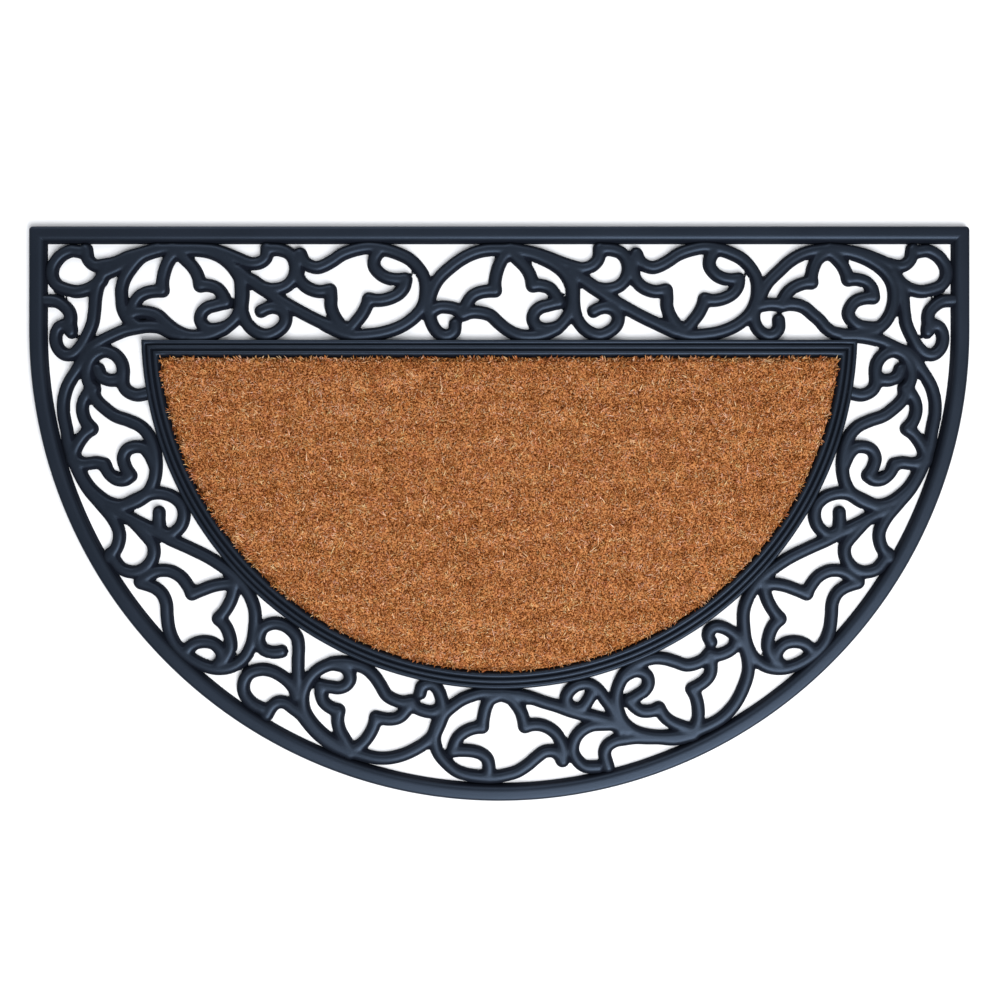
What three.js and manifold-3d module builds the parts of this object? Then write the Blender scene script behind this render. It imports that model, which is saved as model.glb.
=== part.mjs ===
// Half-round doormat: one moulded rubber mat with an open scrollwork border, and a
// coir pile set in its middle. Millimetres, +X right, +Y towards the straight edge,
// +Z up. The origin is under the middle of the mat, on the ground.
import * as THREE from "three";
import { mergeVertices } from "three/addons/utils/BufferGeometryUtils.js";
import Module from "manifold-3d";

const wasm = await Module();
wasm.setup();

// Driving dimensions: a 36 by 22 inch mat
const MAT_LENGTH = 914.4;
const MAT_WIDTH = 558.8;
const CORNER_ROUND = 4;
const RIM_WIDTH = 16.5;
const RIM_HEIGHT = 10;
const RIM_CHAMFER = 2;
const FRAME_RADIUS = 348.4;
const FRAME_DROP = 8.6;
const FRAME_WIDTH = 17;
const FRAME_HEIGHT = 7;
const RIDGE_COUNT = 3;
const RIDGE_MARGIN = 0.4;
const RIDGE_PITCH = 5.2;
const RIDGE_WIDTH = 4.2;
const RIDGE_HEIGHT = 10;
const RIDGE_CHAMFER = 1;
const FLOOR_THICKNESS = 2.5;
const BAR_BASE = 13;
const BAR_TOP = 7.6;
const BAR_HEIGHT = 8.5;
const PILE_TOP = 14;
const PILE_CHAMFER = 2;
const FIT_GAP = 0.3;

// Places worked out from them: the round side is half a circle
const ARC_RADIUS = MAT_LENGTH / 2;
const ARC_CENTRE_Y = ARC_RADIUS - MAT_WIDTH / 2;
const STRAIGHT_EDGE_Y = MAT_WIDTH / 2;
const FRAME_EDGE_Y = ARC_CENTRE_Y - FRAME_DROP;

// The border's chart is drawn in squares, 942 of them over the length of the mat
const SQUARE = MAT_LENGTH / 942;
const BEND_RADIUS = 406;
const KNOB_SIDES = 6;
const STEP_LENGTH = 23;
const STEP_TURN = THREE.MathUtils.degToRad(46);
const ARC_STEPS = 48;
const CORNER_STEPS = 3;
const END_REACH = 3;
const KNOB_SWELL = 1.12;
const ROUNDING = 1000;

// Chart of the repeat, each stroke by its centre line: squares along the border,
// squares outwards from the inner frame. A flower opens outwards at 0.
const OUTWARD_FLOWER = {
  ring: [[-48, 26], [-40, 28], [-32, 28], [-21, 25], [-12, 17], [-3, 10], [8, 5], [20, 4], [34, 6],
    [46, 12], [56, 22], [61, 33], [62, 43], [60, 56], [53, 68], [43, 76], [29, 83], [10, 89],
    [0, 91]],
  leftLobe: [[-48, 27], [-44, 37], [-39, 44], [-31, 48], [-16, 50]],
  leftPetal: [[-16, 50], [-16, 59], [-14, 69], [-10, 79], [-3, 88]],
  rightPetal: [[0, 88], [6, 82], [14, 74], [19, 66], [22, 55]],
  rightLobe: [[22, 55], [30, 55], [39, 52], [45, 45], [48, 38]],
  curl: [[48, 38], [37, 35], [30, 33], [24, 28], [22, 21], [25, 15], [32, 11], [46, 12]],
  hoop: [[-56, 16], [-57, 9], [-62, 5], [-69, 5], [-77, 12], [-83, 30], [-81, 45], [-74, 60],
    [-61, 73], [-45, 84], [-28, 90], [-1, 91]],
  stem: [[-78, 30], [-72, 33], [-63, 33], [-55, 31], [-48, 26]],
};
const LINK = {
  wave: [[0, 91], [20, 88], [37, 83], [50, 78], [62, 74], [73, 72], [82, 75], [88, 82], [89, 92]],
  loop: [[76, 59], [85, 53], [96, 51], [108, 54], [115, 61], [118, 71], [116, 81], [110, 88],
    [100, 91], [91, 91]],
  spiral: [[63, 66], [63, 51], [63, 38], [65, 26], [69, 17], [77, 9], [88, 5], [98, 8], [106, 15],
    [108, 23], [104, 30], [96, 33], [89, 32], [83, 29]],
  brace: [[60, 70], [81, 54], [106, 38], [135, 22], [164, 9]],
};

// A flower that opens inwards, from its tip at 0
const INWARD_FLOWER = {
  hoop: [[-21, 15], [-9, 9], [4, 5], [17, 5], [33, 7], [46, 11], [57, 17], [67, 26], [73, 36],
    [75, 49], [74, 61], [69, 71], [60, 81], [49, 87], [37, 91], [22, 93], [9, 91], [-5, 86],
    [-14, 80], [-23, 75], [-30, 73], [-38, 75], [-43, 79], [-47, 86]],
  leftLobe: [[-47, 86], [-50, 77], [-50, 69], [-47, 60], [-40, 53], [-29, 49], [-17, 50]],
  leftPetal: [[-17, 50], [-16, 43], [-16, 34], [-13, 25], [-7, 16], [0, 10]],
  rightPetal: [[2, 10], [10, 19], [16, 27], [20, 35], [22, 41]],
  rightLobe: [[22, 41], [31, 40], [41, 42], [50, 47], [55, 54], [56, 61]],
  curl: [[56, 61], [46, 61], [38, 63], [32, 67], [27, 74], [27, 81], [30, 87]],
};

// The first flower on the straight edge, whose ring and hoop run into the left corner
const FIRST_FLOWER = {
  ...OUTWARD_FLOWER,
  ring: [[-48, 26], [-40, 28], [-32, 28], [-21, 25], [-12, 17], [-3, 10], [8, 5], [20, 4], [34, 6],
    [46, 12], [57, 21], [63, 34], [65, 48], [63, 60], [57, 70], [50, 78], [40, 85], [25, 90],
    [0, 91]],
  hoop: [[-48, 27], [-55, 41], [-56, 51], [-54, 62], [-47, 73], [-37, 84], [-25, 90], [-5, 92]],
  stem: [[-20, 91], [-49, 84], [-63, 78], [-76, 75]],
  brace: [[-20, 91], [-42, 83], [-61, 72], [-75, 66]],
};
const FIRST_LINK = {
  ...LINK,
  wave: [[0, 91], [20, 91], [37, 90], [50, 86], [62, 81], [73, 77], [82, 78], [88, 83], [89, 92]],
};

// The last flower, which stands closer to its neighbour
const LAST_FLOWER = {
  ring: [[-48, 35], [-40, 36], [-31, 35], [-24, 32], [-17, 26], [-10, 20], [-4, 13], [3, 8], [11, 6],
    [20, 5], [32, 6], [44, 9], [53, 15], [60, 24], [64, 35], [65, 46], [63, 57], [57, 67],
    [48, 75], [36, 82], [22, 87], [0, 91]],
  leftLobe: [[-48, 36], [-46, 42], [-41, 49], [-34, 54], [-26, 57], [-18, 58]],
  leftPetal: [[-18, 58], [-18, 65], [-16, 73], [-12, 81], [-3, 88]],
  rightPetal: [[0, 88], [7, 82], [13, 75], [17, 67], [19, 61]],
  rightLobe: [[19, 61], [28, 61], [37, 58], [43, 51], [44, 43]],
  curl: [[44, 43], [34, 42], [26, 39], [21, 33], [19, 26], [23, 19], [31, 14], [46, 12]],
  hoop: [[-51, 20], [-51, 12], [-56, 6], [-63, 5], [-70, 9], [-75, 17], [-76, 26], [-74, 36],
    [-69, 46], [-62, 58], [-51, 69], [-40, 79], [-30, 85], [-18, 89], [-1, 91]],
  stem: [[-74, 34], [-67, 35], [-60, 36], [-48, 35]],
  wave: [[0, 91], [20, 89], [37, 85], [50, 80], [62, 75]],
};

// The round bottom: the links of its right and left flower, and the flower between them
const RIGHT_LINK = {
  wave: [[0, 91], [17, 87], [30, 80], [40, 76], [50, 72], [60, 70], [70, 69], [78, 72], [82, 78],
    [82, 92]],
  loop: [[60, 58], [66, 53], [76, 50], [88, 48], [99, 51], [107, 58], [111, 69], [108, 80],
    [102, 87], [91, 90]],
  spiral: [[62, 60], [62, 48], [64, 36], [68, 25], [73, 14], [81, 7], [91, 5], [101, 8], [108, 15],
    [107, 23], [101, 28], [93, 28], [86, 23], [80, 17]],
  brace: [[56, 62], [63, 54], [70, 48], [83, 40], [95, 35], [107, 29], [120, 22], [132, 17],
    [146, 11], [160, 7]],
};
const LEFT_LINK = {
  wave: [[0, 91], [20, 89], [34, 85], [45, 80], [55, 75], [65, 73], [74, 72], [80, 75], [83, 82],
    [83, 92]],
  loop: [[68, 60], [74, 55], [82, 52], [91, 51], [101, 52], [111, 57], [118, 67], [117, 78],
    [111, 86], [100, 90], [89, 89]],
  bar: [[67, 60], [72, 50], [77, 41], [82, 33], [87, 25], [92, 17], [99, 10], [110, 7], [121, 8],
    [130, 13], [135, 22], [134, 31]],
  hook: [[134, 31], [129, 36], [121, 39], [113, 37], [107, 33], [104, 30]],
};
const MIDDLE_FLOWER = {
  hoop: [[150, 11], [162, 7], [175, 5], [188, 5], [200, 5], [211, 8], [222, 13], [232, 21],
    [240, 30], [245, 41], [246, 51], [244, 61], [239, 70], [231, 78], [221, 85], [210, 88],
    [198, 89], [186, 89], [175, 87], [165, 84], [155, 78], [146, 71], [137, 66], [129, 67],
    [124, 72], [122, 77]],
  leftLobe: [[122, 77], [120, 68], [121, 58], [125, 49], [131, 43], [139, 39], [147, 38], [155, 39]],
  leftPetal: [[155, 39], [156, 33], [158, 25], [162, 18], [168, 11], [177, 7]],
  rightPetal: [[183, 7], [192, 12], [196, 20], [198, 30], [199, 39]],
  rightLobe: [[199, 39], [208, 41], [216, 45], [222, 51], [225, 58], [226, 65]],
  curl: [[226, 65], [216, 64], [207, 64], [199, 66], [193, 71], [191, 79], [192, 88]],
};

// Chart of the right side, which the left side mirrors: squares from the mat's middle
// line, squares below the centre of the round side
const SIDE_CORNER = {
  hook: [[394, -66], [406, -66], [413, -72], [415, -82]],
  loop: [[400, -51], [412, -43], [424, -40], [435, -42], [444, -46], [449, -54], [449, -63],
    [445, -71], [439, -77], [430, -81], [421, -80]],
  spiral: [[396, -60], [403, -47], [406, -33], [407, -21], [409, -8], [414, 4], [421, 16], [429, 23],
    [437, 23], [444, 16], [446, 6], [443, -3], [437, -6], [431, -4], [430, 1]],
  arch: [[456, -31], [445, -30], [438, -26], [432, -19], [431, -11], [434, -4]],
  bow: [[409, 21], [417, 28], [425, 40], [434, 55], [438, 70], [438, 83], [435, 99], [432, 116],
    [427, 130]],
};
const SIDE_OUTWARD_FLOWER = {
  ring: [[352, 62], [365, 64], [375, 59], [379, 50], [378, 40], [380, 31], [387, 23], [397, 20],
    [407, 25], [413, 35], [414, 46], [410, 57], [405, 69], [397, 77], [386, 85], [372, 90],
    [360, 96], [352, 105], [347, 117], [345, 135], [347, 150], [353, 162], [362, 170],
    [376, 175], [391, 173], [406, 163], [416, 152], [424, 138], [427, 127]],
  stub: [[379, 48], [392, 49], [400, 45], [403, 38]],
  leftLobe: [[407, 58], [412, 61], [418, 71], [419, 80], [416, 90], [410, 98]],
  leftPetal: [[410, 98], [417, 104], [424, 114], [429, 126]],
  rightPetal: [[428, 130], [416, 133], [404, 132], [397, 134]],
  rightLobe: [[397, 134], [392, 143], [384, 149], [376, 149], [371, 145]],
  curl: [[371, 145], [376, 136], [378, 127], [374, 119], [366, 116], [358, 117], [352, 123],
    [347, 133]],
};
const SIDE_LINK = {
  wave: [[427, 130], [414, 157], [401, 173], [388, 189], [382, 203], [384, 216], [392, 228]],
  loop: [[370, 189], [357, 203], [348, 215], [348, 227], [356, 238], [367, 242], [379, 239],
    [387, 230], [391, 224]],
  spiral: [[380, 177], [363, 168], [349, 163], [338, 163], [327, 167], [319, 175], [317, 186],
    [321, 197], [331, 204], [340, 200], [342, 191], [342, 182]],
};
const SIDE_INWARD_FLOWER = {
  hoop: [[391, 178], [371, 188], [351, 198], [331, 209], [311, 218], [291, 228], [276, 238],
    [262, 250], [252, 264], [246, 280], [246, 298], [249, 315], [257, 329], [269, 337],
    [284, 339], [299, 335], [314, 326], [326, 314], [332, 300], [334, 286], [335, 273],
    [339, 264], [346, 258], [359, 253]],
  leftLobe: [[361, 252], [353, 246], [343, 241], [331, 241], [320, 247], [313, 256], [309, 263]],
  leftPetal: [[309, 264], [299, 260], [288, 256], [277, 254], [266, 254]],
  rightPetal: [[266, 254], [267, 262], [270, 271], [275, 280], [282, 289]],
  rightLobe: [[282, 289], [275, 297], [271, 307], [270, 318], [274, 327], [282, 334]],
  curl: [[277, 331], [280, 321], [287, 314], [298, 312], [308, 315], [316, 323]],
};

// Bars from the straight edge's last and first flower to the sides
const LAST_TAIL = {
  tail: [[345, 5], [356, 5], [367, 6], [384, 10], [397, 16], [410, 22]],
};
const FIRST_TAIL = {
  tail: [[342, -4], [354, -5], [367, -3], [376, -1], [388, 4], [400, 10], [409, 16], [417, 28]],
};

// Places on the straight edge, in squares: the flower's centre from the middle line, the
// next inward flower's tip from there, and how much wider that one reaches
const STRAIGHT_FLOWERS = [
  { at: -322.6, flower: FIRST_FLOWER, link: FIRST_LINK, next: 169.4, reach: 1.08 },
  { at: 11.7, flower: OUTWARD_FLOWER, link: LINK, next: 172.9, reach: 1 },
  { at: 331.9, flower: LAST_FLOWER, link: null, next: 0, reach: 1 },
];
const REACH_START = 20;
// Places on the round side: degrees clockwise from the right end, and how each flower
// is moved, spread and leaned
const RIGHT_FLOWER = {
  angle: 64.4,
  link: RIGHT_LINK,
  shift: -6.4,
  spread: 1,
  lean: 0.06,
  lift: 0.2,
  tilt: -0.058,
  rise: 0.976,
};
const LEFT_FLOWER = {
  angle: 109.5,
  link: LEFT_LINK,
  shift: 5.5,
  spread: 0.99,
  lean: -0.048,
  lift: 0.8,
  tilt: 0.046,
  rise: 0.972,
};

// Chart to mat: on the straight edge, round the bend, or straight off the side chart
function onStraightEdge(at) {
  return ([along, out]) => new THREE.Vector3(
    (at + along) * SQUARE,
    FRAME_EDGE_Y + out * SQUARE,
    0,
  );
}

function roundTheBend(angle) {
  return ([along, out]) => {
    const turn = THREE.MathUtils.degToRad(angle) + along / BEND_RADIUS;
    const radius = FRAME_RADIUS + out * SQUARE;
    return new THREE.Vector3(
      radius * Math.cos(turn),
      ARC_CENTRE_Y - radius * Math.sin(turn),
      0,
    );
  };
}

function onSide(mirror) {
  return ([across, down]) => new THREE.Vector3(
    mirror * across * SQUARE,
    ARC_CENTRE_Y - down * SQUARE,
    0,
  );
}

// Each direction gets a start, a share of the squares along and of those outwards
function leaned(flower) {
  return ([along, out]) => [
    flower.shift + flower.spread * along + flower.lean * out,
    flower.lift + flower.tilt * along + flower.rise * out,
  ];
}

// Beyond the start, the squares along grow or shrink by the factor
function stretched(start, factor) {
  return ([along, out]) => [along > start ? start + (along - start) * factor : along, out];
}

function shifted(amount) {
  return ([along, out]) => [along + amount, out];
}

const strokes = [];

function draw(chart, ...steps) {
  for (const points of Object.values(chart)) {
    const placed = points.map((point) => steps.reduce((value, step) => step(value), point));
    strokes.push(new THREE.CatmullRomCurve3(placed, false, "centripetal"));
  }
}

for (const row of STRAIGHT_FLOWERS) {
  const place = onStraightEdge(row.at);
  draw(row.flower, place);
  if (row.link) {
    draw(row.link, place);
    draw(INWARD_FLOWER, stretched(REACH_START, row.reach), shifted(row.next), place);
  }
}

for (const mirror of [1, -1]) {
  const place = onSide(mirror);
  for (const chart of [SIDE_CORNER, SIDE_OUTWARD_FLOWER, SIDE_LINK, SIDE_INWARD_FLOWER]) {
    draw(chart, place);
  }
  draw(mirror > 0 ? LAST_TAIL : FIRST_TAIL, place);
}

for (const flower of [RIGHT_FLOWER, LEFT_FLOWER]) {
  const place = roundTheBend(flower.angle);
  draw(OUTWARD_FLOWER, leaned(flower), place);
  draw(flower.link, place);
}
draw(MIDDLE_FLOWER, roundTheBend(RIGHT_FLOWER.angle));

// Solids for joining and cutting, from closed three.js geometry and back. Coordinates
// are rounded so that surfaces meant to lie in one plane do.
function toSolid(geometry) {
  const bare = geometry.clone();
  bare.deleteAttribute("normal");
  bare.deleteAttribute("uv");
  const position = bare.attributes.position;
  position.array.forEach((value, index) => {
    position.array[index] = Math.round(value * ROUNDING) / ROUNDING;
  });
  const merged = mergeVertices(bare, 0.5 / ROUNDING);
  const mesh = new wasm.Mesh({
    numProp: 3,
    vertProperties: new Float32Array(merged.attributes.position.array),
    triVerts: new Uint32Array(merged.index.array),
  });
  return new wasm.Manifold(mesh);
}

function toGeometry(solid) {
  const mesh = solid.getMesh();
  const geometry = new THREE.BufferGeometry();
  geometry.setAttribute("position", new THREE.BufferAttribute(mesh.vertProperties, 3));
  geometry.setIndex(new THREE.BufferAttribute(mesh.triVerts, 1));
  geometry.computeVertexNormals();
  return geometry;
}

// A bar of the scrollwork: a flat-topped section with sloping sides along a smooth curve
const barSection = new THREE.Shape([
  new THREE.Vector2(0, -BAR_BASE / 2),
  new THREE.Vector2(0, BAR_BASE / 2),
  new THREE.Vector2(-BAR_HEIGHT, BAR_TOP / 2),
  new THREE.Vector2(-BAR_HEIGHT, -BAR_TOP / 2),
]);

function totalTurn(curve) {
  const tangents = Array.from({ length: 33 }, (_, index) => curve.getTangentAt(index / 32));
  return tangents.slice(1).reduce((sum, next, index) => sum + next.angleTo(tangents[index]), 0);
}

function bar(curve) {
  const byLength = curve.getLength() / STEP_LENGTH;
  const byTurn = totalTurn(curve) / STEP_TURN;
  const steps = Math.max(2, Math.ceil(byLength), Math.ceil(byTurn));
  return toSolid(new THREE.ExtrudeGeometry(barSection, {
    steps,
    bevelEnabled: false,
    extrudePath: curve,
  }));
}

// Whether the rim, the inner frame or another bar already covers the end of a bar
function isCovered(end, owner) {
  const fromCentre = Math.hypot(end.x, end.y - ARC_CENTRE_Y);
  const onStraightSide = end.y > ARC_CENTRE_Y;
  const fromFrame = onStraightSide ? end.y - FRAME_EDGE_Y : fromCentre - FRAME_RADIUS;
  const sideways = onStraightSide ? Math.abs(end.x) : fromCentre;
  const fromRim = Math.min(ARC_RADIUS - sideways, STRAIGHT_EDGE_Y - end.y) - RIM_WIDTH;
  if (fromRim < BAR_BASE || (fromFrame < BAR_BASE && Math.abs(end.x) < FRAME_RADIUS)) {
    return true;
  }
  return strokes.some((other) => other !== owner && runsPast(other, end));
}

function runsPast(curve, point) {
  const samples = curve.getSpacedPoints(60).slice(2, -2);
  return samples.some((at) => at.distanceTo(point) < END_REACH);
}

// The free ends and the sharp corners, each once
function openEnds() {
  const found = [];
  for (const stroke of strokes) {
    for (const end of [stroke.getPointAt(0), stroke.getPointAt(1)]) {
      const isKnown = found.some((point) => point.distanceTo(end) < END_REACH);
      if (!isKnown && !isCovered(end, stroke)) {
        found.push(end);
      }
    }
  }
  return found;
}

// A round end or corner where bars meet
function knob(point) {
  const cone = new THREE.CylinderGeometry(
    KNOB_SWELL * BAR_TOP / 2,
    KNOB_SWELL * BAR_BASE / 2,
    BAR_HEIGHT,
    KNOB_SIDES,
  );
  cone.rotateX(Math.PI / 2);
  cone.translate(point.x, point.y, BAR_HEIGHT / 2);
  return toSolid(cone);
}

// Points along an arc, with both ends
function arcPoints(centreX, centreY, radius, start, end, steps) {
  return Array.from({ length: steps + 1 }, (_, index) => {
    const angle = THREE.MathUtils.lerp(start, end, index / steps);
    return new THREE.Vector2(
      centreX + radius * Math.cos(angle),
      centreY + radius * Math.sin(angle),
    );
  });
}

// The mat's outline, drawn inwards from the edge by an inset
function matOutline(inset) {
  const half = ARC_RADIUS - inset;
  const round = Math.max(CORNER_ROUND - inset, 0.5);
  const cornerX = half - round;
  const cornerY = STRAIGHT_EDGE_Y - inset - round;
  return new THREE.Shape([
    ...arcPoints(cornerX, cornerY, round, 0, Math.PI / 2, CORNER_STEPS),
    ...arcPoints(-cornerX, cornerY, round, Math.PI / 2, Math.PI, CORNER_STEPS),
    ...arcPoints(0, ARC_CENTRE_Y, half, Math.PI, 2 * Math.PI, ARC_STEPS),
  ]);
}

// The inner frame's outline: a round side cut off a little below its centre
function frameOutline(inset) {
  const radius = FRAME_RADIUS - inset;
  const start = Math.asin((FRAME_DROP + inset) / radius);
  return new THREE.Shape(
    arcPoints(0, ARC_CENTRE_Y, radius, Math.PI + start, 2 * Math.PI - start, ARC_STEPS),
  );
}

function plate(outlineAt, inset, height, chamfer) {
  const options = { depth: height, bevelEnabled: false };
  if (chamfer > 0) {
    options.depth = height - chamfer;
    options.bevelEnabled = true;
    options.bevelSegments = 1;
    options.bevelSize = chamfer;
    options.bevelThickness = chamfer;
    options.bevelOffset = -chamfer;
  }
  return toSolid(new THREE.ExtrudeGeometry(outlineAt(inset), options));
}

function band(outlineAt, inset, width, height, chamfer) {
  const outer = plate(outlineAt, inset, height, chamfer);
  const inner = plate(outlineAt, inset + width, height + 1, 0);
  return outer.subtract(inner);
}

const ground = toSolid(new THREE.BoxGeometry(2 * MAT_LENGTH, 2 * MAT_WIDTH, 10).translate(0, 0, -5));

function makeRubber() {
  const rim = band(matOutline, 0, RIM_WIDTH, RIM_HEIGHT, RIM_CHAMFER);
  const frame = band(frameOutline, 0, FRAME_WIDTH, FRAME_HEIGHT, 0);
  const ridges = Array.from({ length: RIDGE_COUNT }, (_, index) => band(
    frameOutline,
    RIDGE_MARGIN + index * RIDGE_PITCH,
    RIDGE_WIDTH,
    RIDGE_HEIGHT,
    RIDGE_CHAMFER,
  ));
  const floor = plate(frameOutline, FRAME_WIDTH / 2, FLOOR_THICKNESS, 0);
  const bars = strokes.map(bar);
  const knobs = openEnds().map(knob);
  let scrollwork = wasm.Manifold.union([...bars, ...knobs]);
  const inside = plate(frameOutline, FRAME_WIDTH / 2, BAR_HEIGHT + 2, 0);
  const outside = plate(matOutline, RIM_WIDTH / 2, BAR_HEIGHT + 2, 0);
  scrollwork = scrollwork.subtract(inside).intersect(outside);
  const whole = wasm.Manifold.union([rim, frame, ...ridges, floor, scrollwork]);
  return toGeometry(whole.subtract(ground));
}

function makePile() {
  const base = FLOOR_THICKNESS + FIT_GAP;
  const pile = plate(frameOutline, FRAME_WIDTH + FIT_GAP, PILE_TOP - base, PILE_CHAMFER)
    .subtract(ground);
  return toGeometry(pile).translate(0, 0, base);
}

const rubber = new THREE.Mesh(makeRubber(), new THREE.MeshStandardMaterial({
  color: 0x2a323d,
  roughness: 0.55,
  metalness: 0,
}));
rubber.name = "rubber_mat";

const pile = new THREE.Mesh(makePile(), new THREE.MeshStandardMaterial({
  color: 0xb5713c,
  roughness: 0.95,
  metalness: 0,
}));
pile.name = "coir_pile";

const group = new THREE.Group();
group.add(rubber, pile);
export default group;
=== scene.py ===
# %% [markdown]
# A half-round doormat
#
# The mat is one moulding of black rubber with a panel of coir pile in its middle. The
# moulding has a rim, an open border of scrolls and flowers, an inner frame with ridges,
# and a thin floor that carries the pile. This lesson builds each of them as a surface
# worked out with numpy, then gives them their rubber and fibre finishes.

import bpy
import numpy as np
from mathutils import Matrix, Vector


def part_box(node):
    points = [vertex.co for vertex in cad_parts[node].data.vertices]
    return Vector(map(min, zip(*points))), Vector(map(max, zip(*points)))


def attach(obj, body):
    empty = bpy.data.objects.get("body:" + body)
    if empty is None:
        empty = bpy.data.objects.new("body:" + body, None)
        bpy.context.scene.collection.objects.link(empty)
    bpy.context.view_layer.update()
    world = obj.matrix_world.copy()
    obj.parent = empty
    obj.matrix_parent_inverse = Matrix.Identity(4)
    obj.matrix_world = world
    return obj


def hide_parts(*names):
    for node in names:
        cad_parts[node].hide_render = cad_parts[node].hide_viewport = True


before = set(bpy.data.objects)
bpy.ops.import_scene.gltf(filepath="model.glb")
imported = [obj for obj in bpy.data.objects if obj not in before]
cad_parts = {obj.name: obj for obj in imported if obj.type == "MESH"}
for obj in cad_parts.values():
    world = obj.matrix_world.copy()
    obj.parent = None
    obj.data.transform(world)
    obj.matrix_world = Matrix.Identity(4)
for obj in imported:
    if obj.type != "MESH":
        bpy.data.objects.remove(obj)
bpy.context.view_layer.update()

# %% [markdown]
# Sizes
#
# The solids give the mat's length, width and heights, so those are read from the frame
# and not typed again. The sizes across the rim, the inner frame and a bar of the
# scrollwork are those of the moulding. Everything is in metres.

# %% Sizes from the frame and from the moulding
MM = 0.001
mat_low, mat_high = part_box("rubber_mat")
pile_low, pile_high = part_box("coir_pile")

MAT_LENGTH = mat_high.x - mat_low.x
ARC_RADIUS = MAT_LENGTH / 2
ARC_CENTRE_Y = mat_low.y + ARC_RADIUS
STRAIGHT_EDGE_Y = mat_high.y
CORNER_ROUND = 4 * MM

RIM_WIDTH = 16.5 * MM
FRAME_RADIUS = 348.4 * MM
FRAME_DROP = 8.6 * MM
FRAME_WIDTH = 17 * MM
FRAME_EDGE_Y = ARC_CENTRE_Y - FRAME_DROP
FLOOR_THICKNESS = 2.5 * MM
BAR_HALF = 6.5 * MM
BAR_HEIGHT = 8.5 * MM
BAR_FOOT = 1.2 * MM

# The chart of the border is drawn in squares, so many over the length of the mat
CHART_SQUARES = 942
SQUARE = MAT_LENGTH / CHART_SQUARES
BEND_RADIUS = 406
print("round side of radius", round(ARC_RADIUS, 4), "square of", round(SQUARE / MM, 4), "mm")

# %% [markdown]
# Putting a worked-out surface into Blender
#
# Every piece below ends as an array of points and arrays of faces with three or four
# corners. foreach_set writes such arrays straight into a mesh, which is far quicker than
# adding faces one by one. The place is in the points, so the object stays at the origin.


# %% From arrays to a piece
def make_piece(name, points, quads, triangles=(), smooth_angle=40):
    """A mesh object from points (n, 3), quads (m, 4) and triangles (k, 3)."""
    quads = np.asarray(quads, dtype=np.int32).reshape(-1, 4)
    triangles = np.asarray(triangles, dtype=np.int32).reshape(-1, 3)
    corners = np.concatenate([quads.ravel(), triangles.ravel()])
    sizes = np.concatenate([np.full(len(quads), 4), np.full(len(triangles), 3)])
    starts = np.concatenate([[0], np.cumsum(sizes)[:-1]])
    mesh = bpy.data.meshes.new(name)
    mesh.vertices.add(len(points))
    mesh.vertices.foreach_set("co", np.asarray(points, dtype=np.float32).ravel())
    mesh.loops.add(len(corners))
    mesh.loops.foreach_set("vertex_index", corners.astype(np.int32))
    mesh.polygons.add(len(sizes))
    mesh.polygons.foreach_set("loop_start", starts.astype(np.int32))
    mesh.update(calc_edges=True)
    mesh.validate()
    mesh.shade_smooth()
    mesh.set_sharp_from_angle(angle=np.radians(smooth_angle))
    height = mesh.attributes.new("height", "FLOAT", "POINT")
    height.data.foreach_set("value", (np.asarray(points)[:, 2] / MM).astype(np.float32))
    piece = bpy.data.objects.new(name, mesh)
    bpy.context.scene.collection.objects.link(piece)
    print(name, "points", len(points), "triangles", 2 * len(quads) + len(triangles))
    return piece


# %% [markdown]
# The border's chart
#
# A maker would draw the scrollwork on squared paper and repeat it. The same is done
# here: each stroke is the centre line of a bar, given by the few points that its bends
# need. One flower opens outwards, one opens inwards, and bars link them. The right side
# has a chart of its own, and the left side mirrors it.
#
# In the chart of the repeat a point is (squares along the border, squares outwards from
# the inner frame). In the chart of the side it is (squares from the middle line, squares
# below the centre of the round side).

# %% The flower that opens outwards, with its hoop
OUTWARD_FLOWER = {
    "ring": [(-48, 26), (-40, 28), (-32, 28), (-21, 25), (-12, 17), (-3, 10), (8, 5), (20, 4),
             (34, 6), (46, 12), (56, 22), (61, 33), (62, 43), (60, 56), (53, 68), (43, 76),
             (29, 83), (10, 89), (0, 91)],
    "left_lobe": [(-48, 27), (-44, 37), (-39, 44), (-31, 48), (-16, 50)],
    "left_petal": [(-16, 50), (-16, 59), (-14, 69), (-10, 79), (-3, 88)],
    "right_petal": [(0, 88), (6, 82), (14, 74), (19, 66), (22, 55)],
    "right_lobe": [(22, 55), (30, 55), (39, 52), (45, 45), (48, 38)],
    "curl": [(48, 38), (37, 35), (30, 33), (24, 28), (22, 21), (25, 15), (32, 11), (46, 12)],
    "hoop": [(-56, 16), (-57, 9), (-62, 5), (-69, 5), (-77, 12), (-83, 30), (-81, 45), (-74, 60),
             (-61, 73), (-45, 84), (-28, 90), (-1, 91)],
    "stem": [(-78, 30), (-72, 33), (-63, 33), (-55, 31), (-48, 26)],
}

# %% The bars that link the flowers
LINK = {
    "wave": [(0, 91), (20, 88), (37, 83), (50, 78), (62, 74), (73, 72), (82, 75), (88, 82),
             (89, 92)],
    "loop": [(76, 59), (85, 53), (96, 51), (108, 54), (115, 61), (118, 71), (116, 81), (110, 88),
             (100, 91), (91, 91)],
    "spiral": [(63, 66), (63, 51), (63, 38), (65, 26), (69, 17), (77, 9), (88, 5), (98, 8),
               (106, 15), (108, 23), (104, 30), (96, 33), (89, 32), (83, 29)],
    "brace": [(60, 70), (81, 54), (106, 38), (135, 22), (164, 9)],
}

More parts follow.
